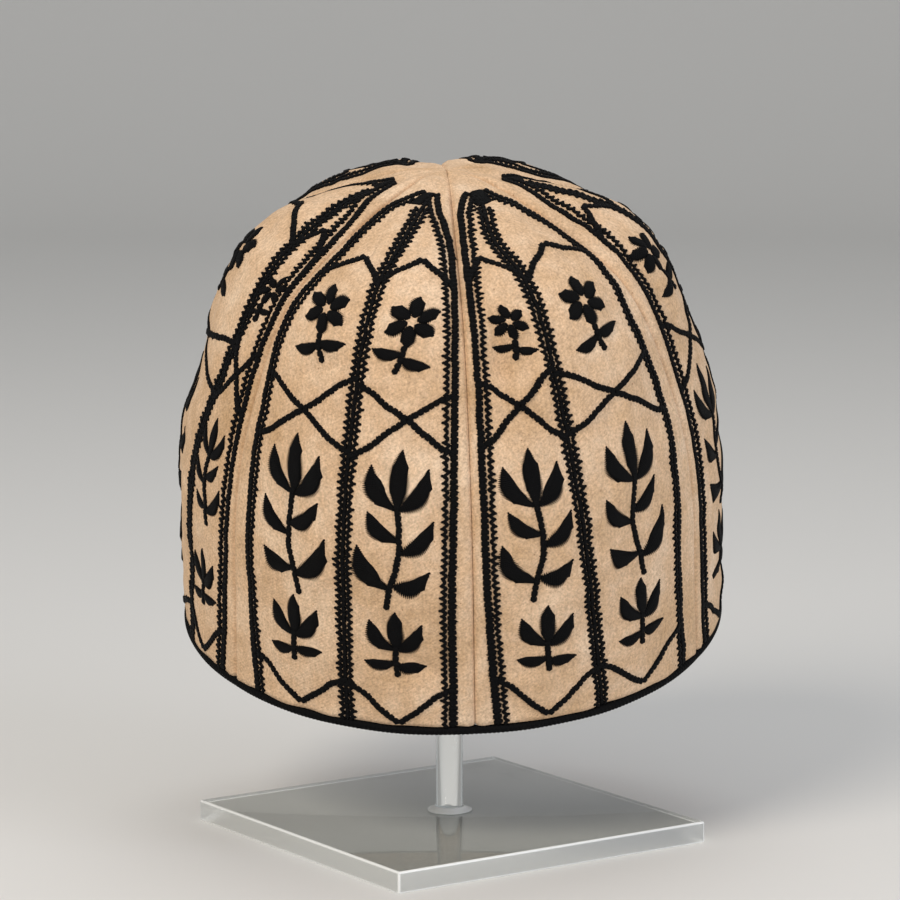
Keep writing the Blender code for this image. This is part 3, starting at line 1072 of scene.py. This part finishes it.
SMALL_SPRIG = (
    Stem(((0.5, -11.0), (0.1, -6.0), (0.0, -1.0))),
    Leaf((-0.2, -2.4), (-8.0, 7.6), 5.8, 2.0),
    Leaf((0.0, -1.6), (0.2, 11.0), 6.2),
    Leaf((0.2, -2.4), (8.2, 7.0), 5.8, -2.0),
    Leaf((0.1, -6.4), (-9.6, -6.0), 4.4, 1.1),
    Leaf((0.1, -7.0), (9.4, -7.4), 4.4, -1.1),
)


@dataclass(frozen=True)
class Motif:
    """A sprig's place in a column: its drawing, that drawing's width, and its height."""

    drawing: tuple
    width: float
    along: float


MOTIFS = (
    Motif(BLOSSOM, 19.5, 0.140),
    Motif(FLOWERING_STEM, 24.0, 0.0735),
    Motif(SMALL_SPRIG, 20.0, 0.0325),
)

# how far an arm has dropped or risen at shares of its way out from the crossing or the peak
OGEE_ARM = ((0.0, 0.38, 0.70, 1.0), (0.0, 0.40, 0.80, 1.0))
ARCH_ARM = ((0.0, 0.25, 0.60, 1.0), (0.0, 0.24, 0.52, 1.0))


class Side(Enum):
    """A column of a gore, by the side it is on."""

    LEFT = -1
    RIGHT = 1


@dataclass
class Embroidery:
    """The black stitching: borders, middle lines, arches, crossings, hem points and sprigs."""

    crown: Crown
    pitch: float = 2.0 * MM
    line_width: float = 1.6 * MM
    border_weight: Pair = (1.42, 0.96)    # at the hem and at the tip
    middle_weight: Pair = (0.80, 0.74)
    line_height: float = 0.75 * MM
    splay: float = 0.50 * MM
    overlap: Pair = (0.10, 0.28)          # of a link, past its start and its end
    barb: float = 1.32 * MM
    barb_lean: float = 0.35
    barb_spread: Pair = (0.68, 1.20)
    barb_size: Pair = (0.60, 0.90)        # shares of a line's width and height
    tooth_pitch: float = 2.25 * MM
    tooth: float = 1.05 * MM
    tooth_spread: Pair = (0.55, 1.20)
    tooth_slant: Pair = (-0.10, 0.25)
    tooth_root: float = 0.5 * MM
    tooth_size: float = 0.85
    zigzag: float = 0.72 * MM
    zigzag_width: float = 1.3 * MM
    zigzag_overlap: float = 0.25
    zigzag_offset: float = 2.65 * MM
    middle_offset: float = 1.65 * MM
    border_short: float = 0.2 * MM    # how far below the tip a border stops
    middle_short: float = 4 * MM      # and a middle line
    line_steps: int = 240             # places along a line's law
    arm_steps: int = 30
    zigzag_clear: float = 0.8 * MM    # from the gore's centre line, at least
    zigzag_short: int = 6             # places it leaves off at a middle line's top
    zigzag_wander: float = 1.3        # times a chain's unevenness
    satin_pitch: float = 0.62 * MM
    satin_width: float = 0.95 * MM
    satin_height: float = 0.62 * MM
    start_along: float = 2.0 * MM
    unevenness: float = 0.13 * MM
    solid_tip: float = 7 * MM
    tip_reach: Pair = (0.7, 0.12)    # of a tip's width, and a stitch's slant
    border_reach: float = 4.1        # millimetres that a border or half a middle band takes
    sprig_scale: Pair = (0.66, 1.12)
    sprig_height: float = 0.8    # the least scale of a sprig's height
    sprig_lean: float = 0.8      # millimetres towards the middle line
    satin_slant: float = 0.45
    satin_least: int = 5                # stitches in the smallest leaf
    leaf_powers: Pair = (0.85, 0.75)    # where it is widest, and how full it is
    padding: Pair = (0.60, 0.55)        # a stitch's least height, and what width adds to it
    core: Pair = (0.82, 0.75)           # shares of a leaf's width and height
    seed: int = 100

    def build(self, thread: Material) -> None:
        """Stitch every gore.

        Args:
            thread: The thread's finish.
        """
        for index, gore in enumerate(GORES):
            strands = Strands(self.crown, index)
            random = default_rng(self.seed + index)
            self.borders(strands, index, random)
            self.middle_band(strands, index, random)
            self.tip(strands, index)
            for side in Side:
                self.lattice(strands, index, side, random)
                self.sprigs(strands, index, side)
            piece = strands.build(f"{gore.name}_stitching", thread)
            finish_piece(piece, "black_thread")

    @staticmethod
    def resample(path: Array, pitch: float) -> Array:
        """Space points evenly along a path, about a pitch apart."""
        length = run_along(path)[-1]
        count = max(2, int(round(length / pitch)) + 1)
        return read_path(path, np.linspace(0, length, count))

    @staticmethod
    def curve(points: Array, steps: int = 12) -> Array:
        """A smooth path through a few points.

        Args:
            points: The points, one row each.
            steps: Pieces between neighbouring points.

        Returns:
            The path's points.
        """
        points = np.asarray(points, dtype=float)
        ends = np.concatenate([[2 * points[0] - points[1]], points, [2 * points[-1] - points[-2]]])
        t = np.linspace(0, 1, steps, endpoint=False)[:, None]
        made = []
        for a, b, c, d in zip(ends, ends[1:], ends[2:], ends[3:]):
            made.append(0.5 * (2 * b + (c - a) * t + (2 * a - 5 * b + 4 * c - d) * t**2
                               + (3 * b - a - 3 * c + d) * t**3))
        return np.concatenate(made + [points[-1:]])

    @staticmethod
    def normals(path: Array) -> Array:
        """Unit vectors to the left of a path at each of its points."""
        way = np.gradient(path, axis=0)
        way /= np.maximum(np.linalg.norm(way, axis=1, keepdims=True), TINY)
        return np.stack([-way[:, 1], way[:, 0]], axis=1)

    def chain(
        self, strands: Strands, path: Array, random: Generator, weight: Pair = (1.0, 1.0)
    ) -> None:
        """Work a line of chain stitch, two splayed threads to a link.

        Args:
            strands: Where the threads are collected.
            path: The line.
            random: Source of the hand's unevenness.
            weight: How much wider than a lattice line it is at its start and at its end.
        """
        points = self.resample(path, self.pitch)
        left = self.normals(points)
        points = points + left * random.normal(0, self.unevenness, (len(points), 1))
        way = points[1:] - points[:-1]
        start, end = points[:-1] - way * self.overlap[0], points[1:] + way * self.overlap[1]
        links = np.linspace(*weight, len(way))
        for sign in (-1, 1):
            strands.lay(start, end, self.line_width * links, self.line_height, sign * self.splay * links)
        knots, aside = points[1:-1], left[1:-1] + way[1:] / self.pitch * self.barb_lean
        reach = aside * self.barb * links[1:, None] * random.uniform(*self.barb_spread, (len(knots), 1))
        thin, low = self.barb_size
        strands.lay(knots - reach, knots + reach, self.line_width * thin, self.line_height * low)

    def zigzag_line(self, strands: Strands, path: Array, side: int, random: Generator) -> None:
        """Work a zigzag line with teeth on one side.

        Args:
            strands: Where the threads are collected.
            path: The line.
            side: One for teeth to the left of the path, minus one for the right.
            random: Source of the hand's unevenness.
        """
        points = self.resample(path, self.tooth_pitch / 2)
        left = self.normals(points) * side
        swing = np.where(np.arange(len(points)) % 2 == 0, -1.0, 1.0)[:, None]
        points = points + left * (swing * self.zigzag)
        uneven = self.unevenness * self.zigzag_wander
        points = points + left * random.normal(0, uneven, (len(points), 1))
        way = points[1:] - points[:-1]
        lap = way * self.zigzag_overlap
        strands.lay(points[:-1] - lap, points[1:] + lap, self.zigzag_width, self.line_height)
        peaks = np.arange(1, len(points) - 1, 2)
        reach = self.tooth * random.uniform(*self.tooth_spread, (len(peaks), 1))
        forward = points[peaks + 1] - points[peaks - 1]
        forward = forward * random.uniform(*self.tooth_slant, (len(peaks), 1))
        root = points[peaks] - left[peaks] * self.tooth_root
        tip = points[peaks] + left[peaks] * reach + forward
        strands.lay(root, tip, self.zigzag_width * self.tooth_size, self.line_height * self.tooth_size)

    def borders(self, strands: Strands, index: int, random: Generator) -> None:
        """Both borders of a gore: a chain line outside and a toothed zigzag inside."""
        top = GORES[index].tip_along - self.border_short
        along = np.linspace(self.start_along, top, self.line_steps)
        for side in (-1, 1):
            outer = self.crown.flat(index, self.crown.border(index, along, side), along)
            self.chain(strands, outer, random, self.border_weight)
            inward = self.normals(outer) * side
            inner = outer + inward * self.zigzag_offset
            keep = inner[:, 0] * side > self.zigzag_clear
            self.zigzag_line(strands, inner[keep], side, random)

    def middle_band(self, strands: Strands, index: int, random: Generator) -> None:
        """The middle line of a gore: a chain between two toothed zigzags."""
        top = GORES[index].tip_along - self.middle_short
        along = np.linspace(self.start_along, top, self.line_steps)
        path = self.crown.flat(index, self.crown.middle(index, along), along)
        self.chain(strands, path, random, self.middle_weight)
        for side in (-1, 1):
            beside = path + self.normals(path) * side * self.middle_offset
            self.zigzag_line(strands, beside[:-self.zigzag_short], side, random)

    def tip(self, strands: Strands, index: int) -> None:
        """The solid arrowhead where a gore's lines meet, filled with short cross stitches."""
        top = GORES[index].tip_along
        along = np.arange(top - self.solid_tip, top, self.satin_pitch)
        sides = [self.crown.flat(index, self.crown.border(index, along, side), along) for side in (-1, 1)]
        centre = (sides[0] + sides[1]) / 2
        wide, slant = self.tip_reach
        half = np.minimum((sides[1] - sides[0])[:, :1] / 2, GORES[index].tip_width * MM * wide)
        reach = half * np.array([[1.0, slant]])
        strands.lay(centre - reach, centre + reach, self.satin_width, self.satin_height)

    def column(self, index: int, side: Side, share: Array, along: Array) -> Array:
        """A flat place in a column, from its left edge at share nought to its right at one."""
        edge, middle = self.crown.border(index, along, side.value), self.crown.middle(index, along)
        left, right = (edge, middle) if side is Side.LEFT else (middle, edge)
        return self.crown.flat(index, left + (right - left) * share, along)

    def lattice(self, strands: Strands, index: int, side: Side, random: Generator) -> None:
        """A column's arch, its crossing lines and its point at the hem."""
        column = GORES[index].columns[0 if side is Side.LEFT else 1]
        arms = (
            (column.arch_peak, column.arch_ends, ARCH_ARM),
            (column.crossing, column.upper_ends, OGEE_ARM),
            (column.crossing, column.lower_ends, OGEE_ARM),
            (column.point, column.point_ends, OGEE_ARM),
        )
        way = np.linspace(0, 1, self.arm_steps)
        for (share, height), ends, shape in arms:
            drop = smooth_through(*shape, way)
            for edge, end in enumerate(ends):
                across = share + (edge - share) * way
                along = (height + (end - height) * drop) * MM
                self.chain(strands, self.column(index, side, across, along), random)

    def sprigs(self, strands: Strands, index: int, side: Side) -> None:
        """The column's flower sprigs, each as large as its column has room for."""
        flip = 1.0 if (index + (side is Side.RIGHT)) % 2 == 0 else -1.0
        for motif in MOTIFS:
            edges = [self.column(index, side, np.array(u), np.array(motif.along))[0] / MM for u in (0, 1)]
            room = edges[1] - edges[0] - 2 * self.border_reach
            size = float(np.clip(room / motif.width, *self.sprig_scale))
            lean = self.sprig_lean * side.value
            centre = np.array([(edges[0] + edges[1]) / 2 - lean, motif.along / MM])
            turn = np.array([flip * size, max(size, self.sprig_height)])
            for item in motif.drawing:
                if isinstance(item, Leaf):
                    base, tip = np.array(item.base) * turn + centre, np.array(item.tip) * turn + centre
                    bend = item.bend * flip * size
                    self.satin(strands, Leaf(tuple(base), tuple(tip), item.width * size, bend))
                else:
                    path = (np.array(item.points) * turn + centre) * MM
                    self.chain(strands, self.curve(path), default_rng(index))

    def satin(self, strands: Strands, leaf: Leaf) -> None:
        """Fill a leaf with slanting satin stitches over a padded core.

        Args:
            strands: Where the threads are collected.
            leaf: The leaf, in millimetres.
        """
        base, tip = np.array(leaf.base) * MM, np.array(leaf.tip) * MM
        way = tip - base
        length = float(np.linalg.norm(way))
        way /= length
        left = np.array([-way[1], way[0]])
        count = max(self.satin_least, int(length / self.satin_pitch))
        t = (np.arange(count) + 0.5) / count
        widest, full = self.leaf_powers
        swell = np.sin(math.pi * t**widest) ** full * leaf.width * MM / 2
        spine = base + way * (t * length)[:, None] + left * (leaf.bend * MM * np.sin(math.pi * t))[:, None]
        reach = left + way * self.satin_slant
        start, end = spine - reach * swell[:, None], spine + reach * swell[:, None]
        least, more = self.padding
        height = self.satin_height * (least + more * swell / (leaf.width * MM / 2))
        strands.lay(start, end, self.satin_width, height)
        wide, high = self.core
        strands.lay(base, tip, leaf.width * MM * wide, self.satin_height * high, leaf.bend * MM)


# Hem

@dataclass
class HemCord:
    """The cord under the lower edge, whipped over with slanting black stitches."""

    crown: Crown
    diameter: float = 3.4 * MM
    gap: float = 0.3 * MM
    stitch_pitch: float = 1.5 * MM
    rings_per_stitch: int = 6
    sides: int = 14
    stitch_relief: float = 0.2 * MM
    stitch_power: float = 1.5    # how narrow the furrows between its stitches are
    stitch_slant: float = 1.6    # how far a stitch turns round the cord, in radians
    slack: float = 0.15 * MM
    slack_length: float = 30 * MM
    gore_width: float = 0.1          # about what a gore measures at the hem
    steps_per_gore: int = 40
    seed: int = 40

    def build(self, thread: Material) -> None:
        """Build the cord.

        Args:
            thread: The thread's finish.
        """
        path = self.path()
        length = run_along(path)[-1]
        count = int(round(length / self.stitch_pitch)) * self.rings_per_stitch
        wanted = np.linspace(0, length, count, endpoint=False)
        centre = read_path(path, wanted)
        way = np.roll(centre, -1, axis=0) - np.roll(centre, 1, axis=0)
        way /= np.linalg.norm(way, axis=1, keepdims=True)
        up = np.array(self.crown.to_world.to_3x3() @ Vector((0, 0, 1)))
        out = np.cross(way, up)
        out /= np.linalg.norm(out, axis=1, keepdims=True)
        top = np.cross(out, way)
        turn = np.linspace(0, 2 * math.pi, self.sides, endpoint=False)
        phase = 2 * math.pi * np.arange(count)[:, None] / self.rings_per_stitch
        phase = phase + self.stitch_slant * np.sin(turn)[None]
        furrow = (0.5 - 0.5 * np.cos(phase)) ** self.stitch_power
        radius = self.diameter / 2 - self.stitch_relief * furrow
        offset = out[:, None] * np.cos(turn)[None, :, None] + top[:, None] * np.sin(turn)[None, :, None]
        points = centre[:, None] + offset * radius[..., None]
        faces = grid_faces(count, self.sides, closed=True, looped=True)
        uvs = np.stack(np.broadcast_arrays(wanted[:, None], turn[None] * self.diameter / 2), axis=-1)
        cord = mesh_object("hem_cord_whipped", points.reshape(-1, 3), faces, thread, uvs.reshape(-1, 2))
        finish_piece(cord, "black_thread", "hem_cord")

    def path(self) -> Array:
        """The cord's centre line under the cloth's edge, back to where it starts."""
        crown = self.crown
        height = crown.cloth_edge - self.gap - self.diameter / 2
        parts = []
        for index in range(len(GORES)):
            across = np.linspace(0, 1, self.steps_per_gore, endpoint=False)
            along = np.full_like(across, crown.cloth_edge)
            depth = crown.sink(index, across, along) + crown.cloth_thickness / 2
            place = crown.on_cap(index, across, along, depth)
            x = across * self.gore_width
            wave = crown.waves(self.seed + index, x, along, self.slack_length) / crown.ripple
            place[:, 2] = height + self.slack * wave * np.sin(math.pi * across)
            parts.append(place)
        return crown.on_stand(np.concatenate([*parts, parts[0][:1]]))


# Stand

def half_width(node: str) -> float:
    """Half of what a node measures from left to right."""
    low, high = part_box(node)
    return (high.x - low.x) / 2


@dataclass
class AcrylicStand:
    """The square plate, the rod, the cement at its foot and the hidden rest."""

    bevel: float = 0.7 * MM
    rod_sides: int = 96
    rod_bevel: float = 0.25 * MM
    sharp: float = math.radians(50)
    ring_sides: int = 72
    ring_gap: float = 0.15 * MM
    # shares of the way out and of the height
    ring_outline: tuple[Pair, ...] = (
        (0.0, 1.0), (0.15, 0.92), (0.42, 0.55), (0.78, 0.36), (0.9614, 0.26), (1.0, 0.12),
        (0.9743, 0.0), (0.0, 0.0),
    )
    # share of the reach, waves round the ring and phase
    ring_wobble: tuple[tuple[float, int, float], ...] = ((0.035, 3, 0.7), (0.025, 5, 2.0))

    def build(self) -> None:
        """Build the stand's pieces."""
        cast, sawn, cement, broken = (Acrylic(cut).build() for cut in AcrylicCut)
        self.plate(cast, sawn, broken)
        self.rod(cast)
        self.cement_ring(cement)
        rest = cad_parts["crown_rest"]
        rest.data.materials.clear()
        rest.data.materials.append(cast)
        LOG.info("crown_rest: acrylic")

    def plate(self, *finishes: Material) -> None:
        """The square plate, its edges broken with a small polished radius.

        Args:
            *finishes: Those of its faces, its sides and its broken edges.
        """
        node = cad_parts["stand_base"]
        places = np.array([tuple(v.co) for v in node.data.vertices])
        height = places[:, 2].max()
        upright = places[np.hypot(places[:, 0], places[:, 1]).argmax()]
        turn = math.atan2(upright[1], upright[0]) - math.pi / 4
        side = 2 * max(abs(v.x * math.cos(-turn) - v.y * math.sin(-turn)) for v in map(Vector, places))
        work = bmesh.new()
        bmesh.ops.create_cube(work, size=1.0)
        bmesh.ops.scale(work, vec=(side, side, height), verts=work.verts)
        bmesh.ops.bevel(
            work, geom=work.edges[:], offset=self.bevel, segments=3, profile=0.5, affect="EDGES"
        )
        bmesh.ops.rotate(work, verts=work.verts, matrix=Matrix.Rotation(turn, 3, "Z"))
        bmesh.ops.translate(work, verts=work.verts, vec=(0, 0, height / 2))
        for face in work.faces:
            is_edge = face.calc_area() < side * height / 2
            is_level = abs(face.normal.z) > math.cos(self.sharp)
            # the broken edges take the finish painted white as a highlight
            face.material_index = 2 if is_edge else 0 if is_level else 1
        self.worked_piece(work, "plate_polished", "stand_base", *finishes)

    def worked_piece(self, work: bmesh.types.BMesh, name: str, node: str, *finishes: Material) -> None:
        """Turn worked faces into a piece, its hard edges kept sharp.

        Args:
            work: The faces, done with afterwards.
            name: The piece's name.
            node: The node that it stands for.
            *finishes: Its finishes, by the faces' numbers.
        """
        mesh = bpy.data.meshes.new(name)
        work.to_mesh(mesh)
        work.free()
        mesh.shade_smooth()
        mesh.set_sharp_from_angle(angle=self.sharp)
        for finish in finishes:
            mesh.materials.append(finish)
        finish_piece(in_scene(name, mesh), "clear_acrylic", node)

    def rod(self, cast: Material) -> None:
        """The round rod, with its mitred top kept.

        Args:
            cast: Its finish.
        """
        low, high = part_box("stand_post")
        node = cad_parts["stand_post"]
        radius = half_width("stand_post")
        upper = [v.co for v in node.data.vertices if v.co.z > (low.z + high.z) / 2]
        crest, trough = max(upper, key=lambda c: c.z), min(upper, key=lambda c: c.z)
        slope = (crest.z - trough.z) / max((crest - trough).to_2d().length, TINY)
        way = (crest - trough).to_2d().normalized()
        middle = (crest.z + trough.z) / 2
        work = bmesh.new()
        bmesh.ops.create_cone(
            work, cap_ends=True, segments=self.rod_sides, radius1=radius, radius2=radius, depth=1.0
        )
        for vertex in work.verts:
            away = vertex.co.x * way.x + vertex.co.y * way.y
            vertex.co.z = low.z if vertex.co.z < 0 else middle + slope * away
        ends = [edge for edge in work.edges if any(len(f.verts) > 4 for f in edge.link_faces)]
        bmesh.ops.bevel(work, geom=ends, offset=self.rod_bevel, segments=2, profile=0.5, affect="EDGES")
        self.worked_piece(work, "rod_polished", "stand_post", cast)

    def cement_ring(self, cement: Material) -> None:
        """The squeezed-out ring of cement at the rod's foot, a little uneven.

        Args:
            cement: Its finish.
        """
        low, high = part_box("post_collar")
        inner, outer = half_width("stand_post") + self.ring_gap, half_width("post_collar")
        turn = np.linspace(0, 2 * math.pi, self.ring_sides, endpoint=False)
        rough = 1 + sum(share * np.sin(waves * turn + phase) for share, waves, phase in self.ring_wobble)
        rough = rough / rough.max()
        share, rise = np.array(self.ring_outline).T[..., None]
        reach = inner + (outer - inner) * share * rough
        height = low.z + (high.z - low.z) * rise
        points = np.stack(
            np.broadcast_arrays(reach * np.cos(turn), reach * np.sin(turn), height), axis=-1
        )
        faces = grid_faces(len(self.ring_outline), self.ring_sides, closed=True, looped=True)
        ring = mesh_object("cement_ring", points.reshape(-1, 3), faces[:, ::-1], cement)
        finish_piece(ring, "clear_acrylic", "post_collar")


# Studio

@dataclass(frozen=True)
class Softbox:
    """One soft light: its place, where it points, its size and its power."""

    name: str
    place: Three
    aim: Three
    size: float
    power: float
    colour: str


@dataclass
class Studio:
    """The pale paper sweep, the soft lights and the camera."""

    aim: Three = (0.00024, 0.0, 0.13633)
    distance: float = 1.4
    elevation: float = math.radians(8.1)
    lens: float = 160.4
    sensor: float = 36.0
    sweep_width: float = 6.0
    sweep_front: float = 3.0
    sweep_steps: int = 12
    sweep_back: float = 2.4
    sweep_radius: float = 0.8
    sweep_height: float = 3.0
    air_colour: str = "#eceeef"
    air_strength: float = 0.50
    lights: tuple[Softbox, ...] = (
        Softbox("key", (-0.9, -1.3, 1.35), (0.0, 0.0, 0.12), 0.9, 24.0, "#fff6ea"),
        Softbox("fill", (1.4, -1.0, 0.7), (0.0, 0.0, 0.12), 1.3, 14.0, "#f1f5ff"),
        Softbox("top", (0.1, 0.5, 1.6), (0.0, 0.0, 0.15), 1.0, 4.5, "#ffffff"),
    )

    def build(self) -> None:
        """Build the sweep, the lights and the camera."""
        self.sweep()
        for light in self.lights:
            self.softbox(light)
        self.air()
        self.camera()

    def sweep(self) -> None:
        """The floor that curves up behind the part."""
        outline = [(-self.sweep_front, 0.0)]
        for step in range(self.sweep_steps + 1):
            turn = math.pi / 2 * step / self.sweep_steps
            outline.append((self.sweep_back + self.sweep_radius * math.sin(turn),
                            self.sweep_radius * (1 - math.cos(turn))))
        outline.append((self.sweep_back + self.sweep_radius, self.sweep_height))
        half = self.sweep_width / 2
        points = np.array([(x, y, z) for y, z in outline for x in (-half, half)])
        paper = mesh_object("paper_sweep", points, grid_faces(len(outline), 2), StudioPaper().build())
        LOG.info("paper_sweep")

    def softbox(self, light: Softbox) -> None:
        """One area light turned to its aim."""
        data = bpy.data.lights.new(light.name, "AREA")
        data.shape = "DISK"
        data.size = light.size
        data.energy = light.power
        data.color = linear(light.colour)[:3]
        lamp = in_scene(light.name, data)
        lamp.location = light.place
        way = Vector(light.aim) - Vector(light.place)
        lamp.rotation_euler = way.to_track_quat("-Z", "Y").to_euler()

    def air(self) -> None:
        """Dim even light from all round."""
        world = bpy.data.worlds.new("studio_air")
        world.use_nodes = True
        back = world.node_tree.nodes["Background"]
        back.inputs["Color"].default_value = linear(self.air_colour)
        back.inputs["Strength"].default_value = self.air_strength
        bpy.context.scene.world = world

    def camera(self) -> None:
        """The camera at the photograph's angle."""
        data = bpy.data.cameras.new("camera")
        data.lens = self.lens
        data.sensor_width = self.sensor
        camera = in_scene("camera", data)
        way = Vector((0.0, -math.cos(self.elevation), math.sin(self.elevation)))
        camera.location = Vector(self.aim) + way * self.distance
        camera.rotation_euler = (-way).to_track_quat("-Z", "Y").to_euler()
        bpy.context.scene.camera = camera


def main() -> None:
    """Build the part's looks in order."""
    logging.basicConfig(level=logging.INFO, format="%(name)s: %(message)s")
    bpy.context.scene.view_settings.view_transform = "Standard"
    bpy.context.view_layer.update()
    Studio().build()
    cotton, thread = BrushedCotton().build(), CottonThread().build()
    crown = Crown()
    ClothGores(crown).build(cotton)
    Embroidery(crown).build(thread)
    HemCord(crown).build(thread)
    AcrylicStand().build()


if __name__ == "__main__":
    main()
